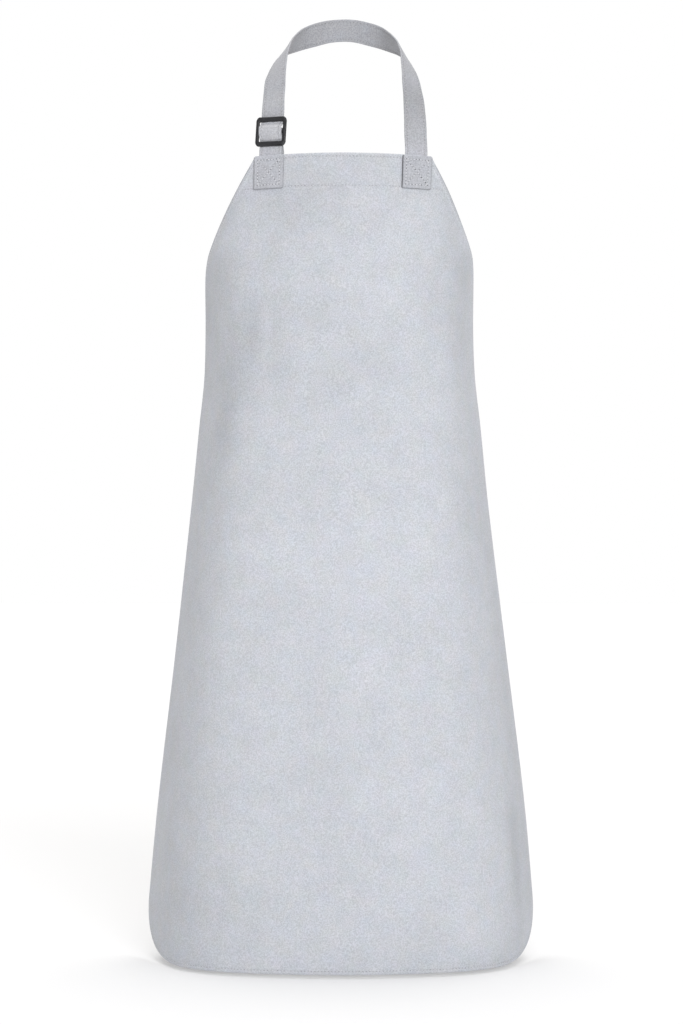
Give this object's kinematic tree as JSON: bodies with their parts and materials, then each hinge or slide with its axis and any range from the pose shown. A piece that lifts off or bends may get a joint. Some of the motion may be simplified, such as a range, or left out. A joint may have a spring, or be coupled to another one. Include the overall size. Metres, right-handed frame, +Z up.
{
  "type": "leather work apron",
  "caption": "Long bib apron of pale grey split leather in its worn form, with turned and stitched edges, stitched patches and a neck strap with a three-bar slide.",
  "frame": {"origin": "on the inner face of the neck strap at the nape, on the part's middle plane, where the worn part hangs", "axes": "+Z up, the front of the apron faces -Y, +X is the viewer's right as seen from the front"},
  "size_m": [0.4482, 0.1746, 1.0897],
  "materials": {
    "suede": "pale grey split leather with a fine soft nap, matt",
    "patch_leather": "grey split leather, a little darker than the panel, matt",
    "strap_leather": "grey split leather strap, matt",
    "black_plastic": "black moulded plastic, half matt with soft highlights"
  },
  "bodies": {
    "root": {"apron_panel": "suede", "patch_left": "patch_leather", "patch_right": "patch_leather", "neck_strap": "strap_leather", "buckle_tab": "strap_leather", "buckle": "black_plastic"}
  },
  "joints": []
}
